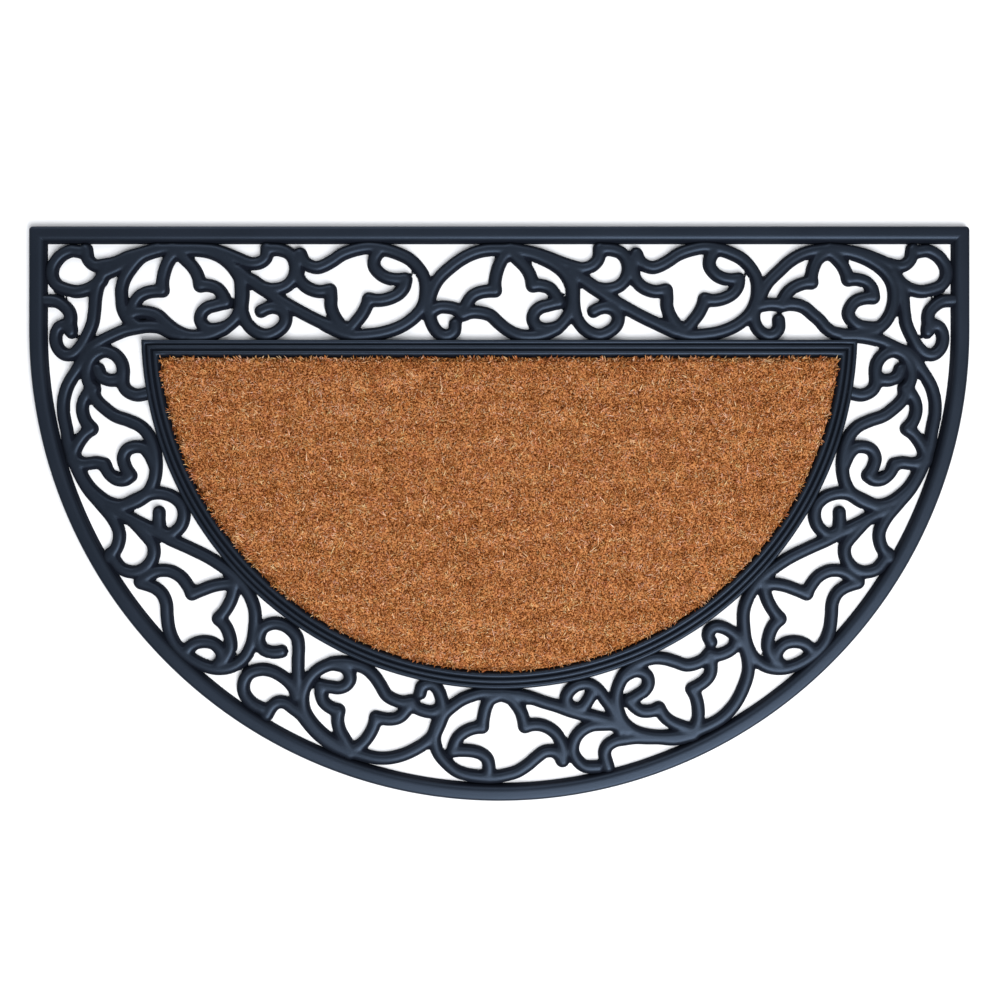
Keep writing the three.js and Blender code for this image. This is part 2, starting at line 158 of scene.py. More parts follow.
# %% The flower that opens inwards
INWARD_FLOWER = {
    "hoop": [(-21, 15), (-9, 9), (4, 5), (17, 5), (33, 7), (46, 11), (57, 17), (67, 26), (73, 36),
             (75, 49), (74, 61), (69, 71), (60, 81), (49, 87), (37, 91), (22, 93), (9, 91),
             (-5, 86), (-14, 80), (-23, 75), (-30, 73), (-38, 75), (-43, 79), (-47, 86)],
    "left_lobe": [(-47, 86), (-50, 77), (-50, 69), (-47, 60), (-40, 53), (-29, 49), (-17, 50)],
    "left_petal": [(-17, 50), (-16, 43), (-16, 34), (-13, 25), (-7, 16), (0, 10)],
    "right_petal": [(2, 10), (10, 19), (16, 27), (20, 35), (22, 41)],
    "right_lobe": [(22, 41), (31, 40), (41, 42), (50, 47), (55, 54), (56, 61)],
    "curl": [(56, 61), (46, 61), (38, 63), (32, 67), (27, 74), (27, 81), (30, 87)],
}
print("outward flower", len(OUTWARD_FLOWER), "bars, inward flower", len(INWARD_FLOWER), "bars")

# %% The first flower, whose ring and hoop run into the corner
FIRST_FLOWER = {
    **OUTWARD_FLOWER,
    "ring": [(-48, 26), (-40, 28), (-32, 28), (-21, 25), (-12, 17), (-3, 10), (8, 5), (20, 4),
             (34, 6), (46, 12), (57, 21), (63, 34), (65, 48), (63, 60), (57, 70), (50, 78),
             (40, 85), (25, 90), (0, 91)],
    "hoop": [(-42, 15), (-51, 22), (-56, 32), (-57, 43), (-57, 52), (-54, 62), (-47, 73),
             (-37, 84), (-25, 90), (-5, 92)],
    "stem": [(-20, 91), (-49, 84), (-63, 78), (-76, 75)],
    "brace": [(-20, 91), (-42, 83), (-61, 72), (-75, 66)],
}
FIRST_LINK = {
    **LINK,
    "wave": [(0, 91), (20, 91), (37, 90), (50, 86), (62, 81), (73, 77), (82, 78), (88, 83),
             (89, 92)],
}

# %% The last flower, which stands closer to its neighbour
LAST_FLOWER = {
    "ring": [(-48, 35), (-40, 36), (-31, 35), (-24, 32), (-17, 26), (-10, 20), (-4, 13), (3, 8),
             (11, 6), (20, 5), (32, 6), (44, 9), (53, 15), (60, 24), (64, 35), (65, 46), (63, 57),
             (57, 67), (48, 75), (36, 82), (22, 87), (0, 91)],
    "left_lobe": [(-48, 36), (-46, 42), (-41, 49), (-34, 54), (-26, 57), (-18, 58)],
    "left_petal": [(-18, 58), (-18, 65), (-16, 73), (-12, 81), (-3, 88)],
    "right_petal": [(0, 88), (7, 82), (13, 75), (17, 67), (19, 61)],
    "right_lobe": [(19, 61), (28, 61), (37, 58), (43, 51), (44, 43)],
    "curl": [(44, 43), (34, 42), (26, 39), (21, 33), (19, 26), (23, 19), (31, 14), (46, 12)],
    "hoop": [(-51, 20), (-51, 12), (-56, 6), (-63, 5), (-70, 9), (-75, 17), (-76, 26), (-74, 36),
             (-69, 46), (-62, 58), (-51, 69), (-40, 79), (-30, 85), (-18, 89), (-1, 91)],
    "stem": [(-74, 34), (-67, 35), (-60, 36), (-48, 35)],
    "wave": [(0, 91), (20, 89), (37, 85), (50, 80), (62, 75)],
}

# %% The round bottom: links of the right and left flower, and the flower between them
RIGHT_LINK = {
    "wave": [(0, 91), (17, 87), (30, 80), (40, 76), (50, 72), (60, 70), (70, 69), (78, 72),
             (82, 78), (82, 92)],
    "loop": [(60, 58), (66, 53), (76, 50), (88, 48), (99, 51), (107, 58), (111, 69), (108, 80),
             (102, 87), (91, 90)],
    "spiral": [(62, 60), (62, 48), (64, 36), (68, 25), (73, 14), (81, 7), (91, 5), (101, 8),
               (108, 15), (107, 23), (101, 28), (93, 28), (86, 23), (80, 17)],
    "brace": [(56, 62), (63, 54), (70, 48), (83, 40), (95, 35), (107, 29), (120, 22), (132, 17),
              (146, 11), (160, 7)],
}
MIDDLE_FLOWER = {
    "hoop": [(150, 11), (162, 7), (175, 5), (188, 5), (200, 5), (211, 8), (222, 13), (232, 21),
             (240, 30), (245, 41), (246, 51), (244, 61), (239, 70), (231, 78), (221, 85),
             (210, 88), (198, 89), (186, 89), (175, 87), (165, 84), (155, 78), (146, 71),
             (137, 66), (129, 67), (124, 72), (122, 77)],
    "left_lobe": [(122, 77), (120, 68), (121, 58), (125, 49), (131, 43), (139, 39), (147, 38),
                  (155, 39)],
    "left_petal": [(155, 39), (156, 33), (158, 25), (162, 18), (168, 11), (177, 7)],
    "right_petal": [(183, 7), (192, 12), (196, 20), (198, 30), (199, 39)],
    "right_lobe": [(199, 39), (208, 41), (216, 45), (222, 51), (225, 58), (226, 65)],
    "curl": [(226, 65), (216, 64), (207, 64), (199, 66), (193, 71), (191, 79), (192, 88)],
}
LEFT_LINK = {
    "wave": [(0, 91), (20, 89), (34, 85), (45, 80), (55, 75), (65, 73), (74, 72), (80, 75),
             (83, 82), (83, 92)],
    "loop": [(68, 60), (74, 55), (82, 52), (91, 51), (101, 52), (111, 57), (118, 67), (117, 78),
             (111, 86), (100, 90), (89, 89)],
    "bar": [(67, 60), (72, 50), (77, 41), (82, 33), (87, 25), (92, 17), (99, 10), (110, 7),
            (121, 8), (130, 13), (135, 22), (134, 31)],
    "hook": [(134, 31), (129, 36), (121, 39), (113, 37), (107, 33), (104, 30)],
}

# %% The side's corner
SIDE_CORNER = {
    "hook": [(394, -66), (406, -66), (413, -72), (415, -82)],
    "loop": [(400, -51), (412, -43), (424, -40), (435, -42), (444, -46), (449, -54), (449, -63),
             (445, -71), (439, -77), (430, -81), (421, -80)],
    "spiral": [(396, -60), (403, -47), (406, -33), (407, -21), (409, -8), (414, 4), (421, 16),
               (429, 23), (437, 23), (444, 16), (446, 6), (443, -3), (437, -6), (431, -4),
               (430, 1)],
    "arch": [(456, -31), (445, -30), (438, -26), (432, -19), (431, -11), (434, -4)],
    "bow": [(409, 21), (417, 28), (425, 40), (434, 55), (438, 70), (438, 83), (435, 99),
            (432, 116), (427, 130)],
}

# %% The side's two flowers and the bars between them
SIDE_OUTWARD_FLOWER = {
    "ring": [(352, 62), (365, 64), (375, 59), (379, 50), (378, 40), (380, 31), (387, 23),
             (397, 20), (407, 25), (413, 35), (414, 46), (410, 57), (405, 69), (397, 77),
             (386, 85), (372, 90), (360, 96), (352, 105), (347, 117), (345, 135), (347, 150),
             (353, 162), (362, 170), (376, 175), (391, 173), (406, 163), (416, 152), (424, 138),
             (427, 127)],
    "stub": [(379, 48), (392, 49), (400, 45), (403, 38)],
    "left_lobe": [(407, 58), (412, 61), (418, 71), (419, 80), (416, 90), (410, 98)],
    "left_petal": [(410, 98), (417, 104), (424, 114), (429, 126)],
    "right_petal": [(428, 130), (416, 133), (404, 132), (397, 134)],
    "right_lobe": [(397, 134), (392, 143), (384, 149), (376, 149), (371, 145)],
    "curl": [(371, 145), (376, 136), (378, 127), (374, 119), (366, 116), (358, 117), (352, 123),
             (347, 133)],
}
SIDE_LINK = {
    "wave": [(427, 130), (414, 157), (401, 173), (388, 189), (382, 203), (384, 216), (392, 228)],
    "loop": [(370, 189), (357, 203), (348, 215), (348, 227), (356, 238), (367, 242), (379, 239),
             (387, 230), (391, 224)],
    "spiral": [(380, 177), (363, 168), (349, 163), (338, 163), (327, 167), (319, 175), (317, 186),
               (321, 197), (331, 204), (340, 200), (342, 191), (342, 182)],
}
SIDE_INWARD_FLOWER = {
    "hoop": [(391, 178), (371, 188), (351, 198), (331, 209), (311, 218), (291, 228), (276, 238),
             (262, 250), (252, 264), (246, 280), (246, 298), (249, 315), (257, 329), (269, 337),
             (284, 339), (299, 335), (314, 326), (326, 314), (332, 300), (334, 286), (335, 273),
             (339, 264), (346, 258), (359, 253)],
    "left_lobe": [(361, 252), (353, 246), (343, 241), (331, 241), (320, 247), (313, 256),
                  (309, 263)],
    "left_petal": [(309, 264), (299, 260), (288, 256), (277, 254), (266, 254)],
    "right_petal": [(266, 254), (267, 262), (270, 271), (275, 280), (282, 289)],
    "right_lobe": [(282, 289), (275, 297), (271, 307), (270, 318), (274, 327), (282, 334)],
    "curl": [(277, 331), (280, 321), (287, 314), (298, 312), (308, 315), (316, 323)],
}

# %% Bars from the straight edge's last and first flower to the sides
LAST_TAIL = {"tail": [(345, 5), (356, 5), (367, 6), (384, 10), (397, 16), (410, 22)]}
FIRST_TAIL = {
    "tail": [(319, 4), (329, 2), (342, -4), (354, -5), (367, -3), (376, -1), (388, 4), (400, 10),
             (409, 16), (417, 28)],
}
side_charts = [SIDE_CORNER, SIDE_OUTWARD_FLOWER, SIDE_LINK, SIDE_INWARD_FLOWER]
print("side chart", sum(len(chart) for chart in side_charts), "bars")

# %% [markdown]
# Placing the chart
#
# On the straight edge a chart point only moves along and out. On the round side the
# squares along the border become an angle, so the flower bends with the mat. Some of the
# flowers lean a little, as they do on the real mat.


# %% Ways from the chart to the mat
def on_straight_edge(at):
    """x = the flower's place + squares along, y = the frame's edge + squares out."""
    return lambda chart: np.column_stack([
        (at + chart[:, 0]) * SQUARE,
        FRAME_EDGE_Y + chart[:, 1] * SQUARE,
    ])


def round_the_bend(degrees):
    """The squares along turn into an angle and those outwards are added to the radius."""
    def place(chart):
        turn = np.radians(degrees) + chart[:, 0] / BEND_RADIUS
        radius = FRAME_RADIUS + chart[:, 1] * SQUARE
        return np.column_stack([radius * np.cos(turn), ARC_CENTRE_Y - radius * np.sin(turn)])
    return place


def on_side(mirror):
    """x = the squares across, mirrored on the left, y = the round side's centre - down."""
    return lambda chart: np.column_stack([
        mirror * chart[:, 0] * SQUARE,
        ARC_CENTRE_Y - chart[:, 1] * SQUARE,
    ])


def leaned(flower):
    """Each direction gets a start, a share of the squares along and of those outwards."""
    return lambda chart: np.column_stack([
        flower["shift"] + flower["spread"] * chart[:, 0] + flower["lean"] * chart[:, 1],
        flower["lift"] + flower["tilt"] * chart[:, 0] + flower["rise"] * chart[:, 1],
    ])


def stretched(start, factor):
    """Beyond the start, the squares along grow or shrink by the factor."""
    return lambda chart: np.column_stack([
        np.where(chart[:, 0] > start, start + (chart[:, 0] - start) * factor, chart[:, 0]),
        chart[:, 1],
    ])


def shifted(amount):
    """The squares along grow by the amount."""
    return lambda chart: chart + np.array([amount, 0])


# %% [markdown]
# From a few points to a smooth bar
#
# A centripetal Catmull-Rom curve runs through every charted point and never loops on
# itself where points lie close together, which makes it a good curve for scrolls.


# %% The centre line of a bar
def smooth_line(points, per_span=12):
    """Between two points the curve is a cubic whose end slopes come from the points
    around them, each weighed by the square root of its distance."""
    points = np.asarray(points, dtype=float)
    before = 2 * points[0] - points[1]
    after = 2 * points[-1] - points[-2]
    run = np.vstack([before, points, after])
    gap = np.sqrt(np.linalg.norm(np.diff(run, axis=0), axis=1))[:, None]
    a, b, c, d = run[:-3], run[1:-2], run[2:-1], run[3:]
    gap_a, gap_b, gap_c = gap[:-2], gap[1:-1], gap[2:]
    leave = ((b - a) / gap_a - (c - a) / (gap_a + gap_b) + (c - b) / gap_b) * gap_b
    arrive = ((c - b) / gap_b - (d - b) / (gap_b + gap_c) + (d - c) / gap_c) * gap_b
    u = np.linspace(0, 1, per_span, endpoint=False)[None, :, None]
    line = (
        (2 * u**3 - 3 * u**2 + 1) * b[:, None]
        + (u**3 - 2 * u**2 + u) * leave[:, None]
        + (3 * u**2 - 2 * u**3) * c[:, None]
        + (u**3 - u**2) * arrive[:, None]
    )
    return np.vstack([line.reshape(-1, 2), points[-1]])


lines = []


def draw(chart, *steps):
    """Places every stroke of a chart on the mat and keeps its smooth centre line."""
    for stroke in chart.values():
        points = np.asarray(stroke, dtype=float)
        for step in steps:
            points = step(points)
        lines.append(smooth_line(points))


# %% The straight edge
STRAIGHT_FLOWERS = [
    {"at": -322.6, "flower": FIRST_FLOWER, "link": FIRST_LINK, "next": 169.4, "reach": 1.08},
    {"at": 11.7, "flower": OUTWARD_FLOWER, "link": LINK, "next": 172.9, "reach": 1},
    {"at": 331.9, "flower": LAST_FLOWER, "link": None, "next": 0, "reach": 1},
]
REACH_START = 20
for row in STRAIGHT_FLOWERS:
    place = on_straight_edge(row["at"])
    draw(row["flower"], place)
    if row["link"]:
        draw(row["link"], place)
        draw(INWARD_FLOWER, stretched(REACH_START, row["reach"]), shifted(row["next"]), place)
print("bars on the straight edge", len(lines))

# %% The two sides and the round bottom
for mirror in (1, -1):
    for chart in side_charts:
        draw(chart, on_side(mirror))
    draw(LAST_TAIL if mirror > 0 else FIRST_TAIL, on_side(mirror))

BOTTOM_FLOWERS = [
    {"angle": 64.4, "link": RIGHT_LINK, "shift": -6.4, "spread": 1, "lean": 0.06, "lift": 0.2,
     "tilt": -0.058, "rise": 0.976},
    {"angle": 109.5, "link": LEFT_LINK, "shift": 5.5, "spread": 0.99, "lean": -0.048, "lift": 0.8,
     "tilt": 0.046, "rise": 0.972},
]
for flower in BOTTOM_FLOWERS:
    place = round_the_bend(flower["angle"])
    draw(OUTWARD_FLOWER, leaned(flower), place)
    draw(flower["link"], place)
draw(MIDDLE_FLOWER, round_the_bend(BOTTOM_FLOWERS[0]["angle"]))
length = sum(np.linalg.norm(np.diff(line, axis=0), axis=1).sum() for line in lines)
print("bars in all", len(lines), "length in metres", round(length, 2))

# %% [markdown]
# The scrollwork as a height over the ground
#
# The bars could be tubes that cross each other, but a moulding flows together where its
# bars meet, and tubes would leave a crease and hidden walls there. So the scrollwork is
# worked out as one height over a fine grid: the distance from each grid point to the
# nearest centre line gives the height of a rounded bar. Distances to several bars are
# joined by a smooth minimum, which leaves a small fillet in each crotch.

# %% The distance to the nearest bar
GRID = 1.8 * MM
BLEND = 0.8 * MM
LEAST_SUM = 1e-30
FAR = BAR_HALF + 4 * GRID
grid_x = np.arange(mat_low.x, mat_high.x + GRID, GRID)
grid_y = np.arange(mat_low.y, mat_high.y + GRID, GRID)


def distance_to(line):
    """For the grid points near the line: the distance to the closest of its segments."""
    start, span = line[:-1], np.diff(line, axis=0)
    reach = int(np.ceil(FAR / GRID)) + 1
    steps = np.arange(-reach, reach + 1)
    middle = start + span / 2
    column = np.rint((middle[:, 0] - grid_x[0]) / GRID).astype(int)[:, None, None] + steps
    row = np.rint((middle[:, 1] - grid_y[0]) / GRID).astype(int)[:, None, None] + steps[:, None]
    column = np.clip(column, 0, len(grid_x) - 1)
    row = np.clip(row, 0, len(grid_y) - 1)
    column, row = np.broadcast_arrays(column, row)
    to_x = grid_x[column] - start[:, 0, None, None]
    to_y = grid_y[row] - start[:, 1, None, None]
    span_x, span_y = span[:, 0, None, None], span[:, 1, None, None]
    share = np.clip((to_x * span_x + to_y * span_y) / (span_x**2 + span_y**2), 0, 1)
    distance = np.hypot(to_x - share * span_x, to_y - share * span_y)
    field = np.full((len(grid_y), len(grid_x)), FAR)
    np.minimum.at(field, (row, column), distance)
    return field


def smooth_minimum(fields):
    """Minus the logarithm of the sum of exp(-distance), all in units of the blend. Where
    no bar is near, a tiny least sum keeps the logarithm finite."""
    crowd = np.zeros((len(grid_y), len(grid_x)))
    for field in fields:
        near = field < FAR
        crowd[near] += np.exp(-field[near] / BLEND)
    return np.minimum(-BLEND * np.log(np.maximum(crowd, LEAST_SUM)), FAR)


distance = smooth_minimum(distance_to(line) for line in lines)
print("grid", distance.shape, "share under bars", round(float((distance < BAR_HALF).mean()), 3))


# %% [markdown]
# The outlines that hold the border
#
# Both outlines are half circles with a straight side, drawn inwards by an inset. As a
# function of (how far round, inset) they serve every piece that follows them: the rim and
# the frame are profiles carried along them.


# %% Insets and outlines
LEAST_CORNER = 0.4 * MM


def rim_inset(x, y):
    """How far a point lies inside the mat's edge: from the round side, the straight
    sides or the straight edge, whichever is nearest."""
    from_round = ARC_RADIUS - np.where(y < ARC_CENTRE_Y, np.hypot(x, y - ARC_CENTRE_Y), np.abs(x))
    return np.minimum(from_round, STRAIGHT_EDGE_Y - y)


def frame_inset(x, y):
    """How far a point lies inside the frame's outer edge, negative outside it."""
    return np.minimum(FRAME_RADIUS - np.hypot(x, y - ARC_CENTRE_Y), FRAME_EDGE_Y - y)


def mat_outline(inset, round_steps=320, corner_steps=6):
    """Points round the mat, anticlockwise: the two corners, then the half circle."""
    half = ARC_RADIUS - inset
    corner = max(CORNER_ROUND - inset, LEAST_CORNER)
    corner_x, corner_y = half - corner, STRAIGHT_EDGE_Y - inset - corner
    turns = np.linspace(0, np.pi / 2, corner_steps + 1)
    bend = np.linspace(np.pi, 2 * np.pi, round_steps + 1)
    right = np.column_stack([corner_x + corner * np.cos(turns), corner_y + corner * np.sin(turns)])
    left = np.column_stack([-corner_x - corner * np.sin(turns), corner_y + corner * np.cos(turns)])
    below = np.column_stack([half * np.cos(bend), ARC_CENTRE_Y + half * np.sin(bend)])
    return np.vstack([right, left, below])


def frame_outline(inset, round_steps=300, straight_steps=60):
    """Points round the frame, anticlockwise: the bend, then the straight side."""
    radius = FRAME_RADIUS - inset
    start = np.arcsin((FRAME_DROP + inset) / radius)
    bend = np.linspace(np.pi + start, 2 * np.pi - start, round_steps + 1)
    below = np.column_stack([radius * np.cos(bend), ARC_CENTRE_Y + radius * np.sin(bend)])
    across = np.linspace(below[-1], below[0], straight_steps + 1)[1:-1]
    return np.vstack([below, across])


# %% [markdown]
# From the height to a closed mesh
#
# A grid cell is kept where a corner lies well under a bar. The other corners of kept
# cells are moved onto the bar's edge, straight along the slope of the distance, so the
# edge runs smoothly and isn't stepped. Walls go down from that edge, and the same cells
# at ground level close the mesh.


# %% The scrollwork
WELL_UNDER = 0.35
LEAST_STEEPNESS = 0.3
BAR_FULLNESS = 0.6


def bar_height(away):
    """The foot, plus the rest times (1 - share cubed) to the power of the fullness. The
    share is the distance from the centre line over half the bar's width."""
    share = np.clip(away / BAR_HALF, 0, 1)
    return BAR_FOOT + (BAR_HEIGHT - BAR_FOOT) * (1 - share**3) ** BAR_FULLNESS


def grid_solid(name, field, edge, allowed, height, ground_z, xs, ys):
    """A closed mesh over the cells where the field is below the edge. A corner is well
    under it by a share of a grid step, and the others move by
    (field - edge) / steepness along the slope."""
    step = xs[1] - xs[0]
    slope_y, slope_x = np.gradient(field, step)
    steepness = np.maximum(np.hypot(slope_x, slope_y), LEAST_STEEPNESS)
    x, y = np.meshgrid(xs, ys)
    deep = (field < edge - WELL_UNDER * step) & allowed
    kept = deep[:-1, :-1] | deep[1:, :-1] | deep[:-1, 1:] | deep[1:, 1:]
    outer = field > edge - WELL_UNDER * step
    move = np.where(outer, (field - edge) / steepness, 0)
    x = x - move * slope_x / steepness
    y = y - move * slope_y / steepness
    z = np.where(outer, height(np.full_like(field, edge)), height(field))
    used = np.zeros(field.shape, dtype=bool)
    for rows in (slice(None, -1), slice(1, None)):
        for columns in (slice(None, -1), slice(1, None)):
            used[rows, columns] |= kept
    number = np.cumsum(used.ravel()).reshape(field.shape) - 1
    count = int(used.sum())
    top = np.column_stack([x[used], y[used], z[used]])
    ground = np.column_stack([x[used], y[used], np.full(count, ground_z)])
    a, b = number[:-1, :-1][kept], number[:-1, 1:][kept]
    c, d = number[1:, 1:][kept], number[1:, :-1][kept]
    upper = np.column_stack([a, b, c, d])
    lower = np.column_stack([d, c, b, a]) + count
    walls = edge_walls(kept, number, count)
    return make_piece(name, np.vstack([top, ground]), np.vstack([upper, lower, walls]))


def edge_walls(kept, number, count):
    """One quad down from each cell side that has a kept cell on one side only."""
    padded = np.pad(kept, 1)
    here = padded[1:-1, 1:-1]
    first, second = number[:-1, :-1], number[:-1, 1:]
    third, fourth = number[1:, 1:], number[1:, :-1]
    sides = [
        (here & ~padded[:-2, 1:-1], first, second),
        (here & ~padded[1:-1, 2:], second, third),
        (here & ~padded[2:, 1:-1], third, fourth),
        (here & ~padded[1:-1, :-2], fourth, first),
    ]
    quads = [np.column_stack([v[m], u[m], u[m] + count, v[m] + count]) for m, u, v in sides]
    return np.vstack(quads)


mesh_x, mesh_y = np.meshgrid(grid_x, grid_y)
OVERLAP = 3.5 * MM
between = (rim_inset(mesh_x, mesh_y) > RIM_WIDTH - OVERLAP) & (
    frame_inset(mesh_x, mesh_y) < OVERLAP
)
scrollwork = grid_solid(
    "scrollwork", distance, edge=BAR_HALF, allowed=between, height=bar_height,
    ground_z=0, xs=grid_x, ys=grid_y,
)

# %% [markdown]
# The rim
#
# The rim is a profile carried round the mat: a plumb outer face, a soft edge, a broad
# flat top, and a slope down to the scrollwork. Each row of the table is a point of the
# profile. Going round and going along the profile both close on themselves, so the
# surface has no open edge.


# %% A profile carried round an outline
def carried_profile(outline, profile):
    """points[i, j] = outline at inset j, point i, at height j."""
    rings = [np.column_stack([ring, np.full(len(ring), z)])
             for ring, z in ((outline(inset * MM), z * MM) for inset, z in profile)]
    return np.stack(rings, axis=1)


def wrapped_quads(round_count, profile_count):
    """Quads between neighbours, closed both round the outline and along the profile."""
    i = np.arange(round_count)[:, None]
    j = np.arange(profile_count)[None, :]
    next_i, next_j = (i + 1) % round_count, (j + 1) % profile_count
    a, b = i * profile_count + j, next_i * profile_count + j
    c, d = next_i * profile_count + next_j, i * profile_count + next_j
    return np.stack([a, b, c, d], axis=-1).reshape(-1, 4)


RIM_PROFILE = [
    (0.0, 0.0), (0.0, 3.5), (0.0, 7.0), (0.3, 8.4), (1.0, 9.4), (2.2, 9.9), (3.6, 10.0),
    (6.0, 10.0), (8.4, 10.0), (10.2, 9.9), (11.6, 9.5), (12.8, 8.8), (13.8, 7.6), (14.8, 5.6),
    (15.8, 2.8), (16.5, 0.0), (11.0, 0.0), (5.5, 0.0),
]
rim_points = carried_profile(mat_outline, RIM_PROFILE)
rim = make_piece(
    "rim",
    rim_points.reshape(-1, 3),
    wrapped_quads(len(rim_points), len(RIM_PROFILE)),
)

# %% [markdown]
# The inner frame and the floor
#
# The frame is carried round in the same way. It has three ridges with grooves between
# them. Its last ring is the floor's edge, and from there rings that shrink to the middle
# close the floor above and the underside below.

# %% The inner frame with its floor
FRAME_PROFILE = [
    (0.0, 0.0), (0.0, 4.0), (0.0, 7.4), (0.4, 8.6), (1.2, 9.4), (2.4, 9.6), (3.5, 9.3), (4.2, 8.4),
    (4.7, 7.4), (5.2, 8.4), (6.0, 9.6), (7.3, 10.0), (8.7, 9.6), (9.5, 8.4), (10.1, 7.2),
    (10.8, 8.4), (11.6, 9.3), (12.9, 9.6), (14.4, 9.2), (15.6, 8.0), (16.5, 6.0), (17.0, 2.5),
]
FLOOR_SHARES = np.linspace(1, 0, 12)
FLOOR_MIDDLE = 0.4


def shrunk_rings(ring, middle, z):
    """ring k = middle + share k of the way out to the ring, down to one point."""
    flat = middle + FLOOR_SHARES[1:-1, None, None] * (ring - middle)
    return np.concatenate([flat, np.full(flat.shape[:2] + (1,), z)], axis=2)


def make_inner_frame():
    """The profile's rings, the floor's rings above and the underside's rings below."""
    carried = carried_profile(frame_outline, FRAME_PROFILE).transpose(1, 0, 2)
    middle = np.array([0, FRAME_EDGE_Y - FLOOR_MIDDLE * FRAME_RADIUS])
    floor = shrunk_rings(carried[-1, :, :2], middle, FLOOR_THICKNESS)
    under = shrunk_rings(carried[0, :, :2], middle, 0)[::-1]
    rings = np.concatenate([under, carried, floor])
    count, around = rings.shape[:2]
    poles = np.array([[*middle, 0], [*middle, FLOOR_THICKNESS]])
    i, j = np.arange(count - 1)[:, None], np.arange(around)[None, :]
    after = (j + 1) % around
    quads = np.stack([
        i * around + j, i * around + after, (i + 1) * around + after, (i + 1) * around + j,
    ], axis=-1).reshape(-1, 4)
    turn = np.arange(around)
    ahead = (turn + 1) % around
    low_pole, high_pole = count * around, count * around + 1
    low_fan = np.column_stack([np.full(around, low_pole), ahead, turn])
    last = (count - 1) * around
    high_fan = np.column_stack([np.full(around, high_pole), last + turn, last + ahead])
    points = np.vstack([rings.reshape(-1, 3), poles])
    return make_piece("inner_frame", points, quads, np.vstack([low_fan, high_fan]))


inner_frame = make_inner_frame()

# %% [markdown]
# The coir's body
#
# The pile is so dense that no light reaches its roots. A bumpy slab fills that depth, and
# only the ends of the fibres are built. The slab is the panel's backing and the packed
# part of its pile. Its height is a sum of a few waves in odd directions, which looks
# uneven but is the same each time.

# %% The slab under the fibres
PILE_INSET = FRAME_WIDTH + 0.3 * MM
PILE_BODY = 10.4 * MM
PILE_TOP = pile_high.z
PILE_GRID = 5 * MM
SLAB_SOFT_EDGE = 4 * MM
SLAB_SIDE = 2 * MM
SLAB_GAP = 0.3 * MM
WAVES = [
    {"across": 210, "up": 35, "size": 0.25},
    {"across": -60, "up": 250, "size": 0.25},
    {"across": 330, "up": -290, "size": 0.2},
    {"across": 90, "up": 410, "size": 0.2},
    {"across": -520, "up": 130, "size": 0.15},
]


def unevenness(x, y):
    """The sum of each wave's size times the sine of its count of radians."""
    return MM * sum(
        wave["size"] * np.sin(wave["across"] * x + wave["up"] * y + number)
        for number, wave in enumerate(WAVES)
    )


pile_x = np.arange(pile_low.x - PILE_GRID, pile_high.x + 2 * PILE_GRID, PILE_GRID)
pile_y = np.arange(pile_low.y - PILE_GRID, pile_high.y + 2 * PILE_GRID, PILE_GRID)
slab_x, slab_y = np.meshgrid(pile_x, pile_y)
slab_depth = frame_inset(slab_x, slab_y) - PILE_INSET


def slab_height(away):
    """Level inside, and rounded down over the soft edge to the height of its side."""
    inside = np.clip(-away / SLAB_SOFT_EDGE, 0, 1)
    rounded = np.sqrt(1 - (1 - inside) ** 2)
    level = PILE_BODY + unevenness(slab_x, slab_y)
    return FLOOR_THICKNESS + SLAB_SIDE + (level - FLOOR_THICKNESS - SLAB_SIDE) * rounded


everywhere = np.ones(slab_depth.shape, dtype=bool)
coir_body = grid_solid(
    "coir_body", -slab_depth, edge=0, allowed=everywhere, height=slab_height,
    ground_z=FLOOR_THICKNESS + SLAB_GAP, xs=pile_x, ys=pile_y,
)

# %% [markdown]
# The coir's fibres
#
# Hair particles can't be exported, so each fibre is a slim three-sided spike with one
# bend, and tens of thousands of them are worked out at once and joined into a few
# meshes. Roots stand on a jittered grid, so no spot stays bare. Each fibre leans its own
# way, and neighbours share part of their lean as tufts do. Beside the frame they lean out
# over it, which gives the ragged edge of the real mat, and the overhang limits how far.
# A few loose fibres, all well inside the panel, lean more than twice as far.

# %% Roots and leans
FIBRE_PITCH = 1.7 * MM
ROOT_JITTER = 0.6
ROOT_MARGIN = 0.5 * MM
rng = np.random.default_rng(7)
root_x, root_y = np.meshgrid(
    np.arange(pile_low.x, pile_high.x, FIBRE_PITCH),
    np.arange(pile_low.y, pile_high.y, FIBRE_PITCH),
)
root = np.column_stack([root_x.ravel(), root_y.ravel()])
root += rng.uniform(-ROOT_JITTER, ROOT_JITTER, root.shape) * FIBRE_PITCH
from_edge = frame_inset(root[:, 0], root[:, 1]) - PILE_INSET
root = root[from_edge > ROOT_MARGIN]
from_edge = from_edge[from_edge > ROOT_MARGIN]
count = len(root)
print("fibres", count)


def tuft_noise(seed, pitch):
    """At each root: random values on a coarse grid, blended between its points. Each use
    has a seed of its own, so it is the same in every run."""
    column, row = ((root - root.min(axis=0)) / pitch).T
    left, low = np.floor(column).astype(int), np.floor(row).astype(int)
    grid = np.random.default_rng(seed).normal(size=(low.max() + 2, left.max() + 2))
    u, v = column - left, row - low
    return (
        grid[low, left] * (1 - u) * (1 - v) + grid[low, left + 1] * u * (1 - v)
        + grid[low + 1, left] * (1 - u) * v + grid[low + 1, left + 1] * u * v
    )


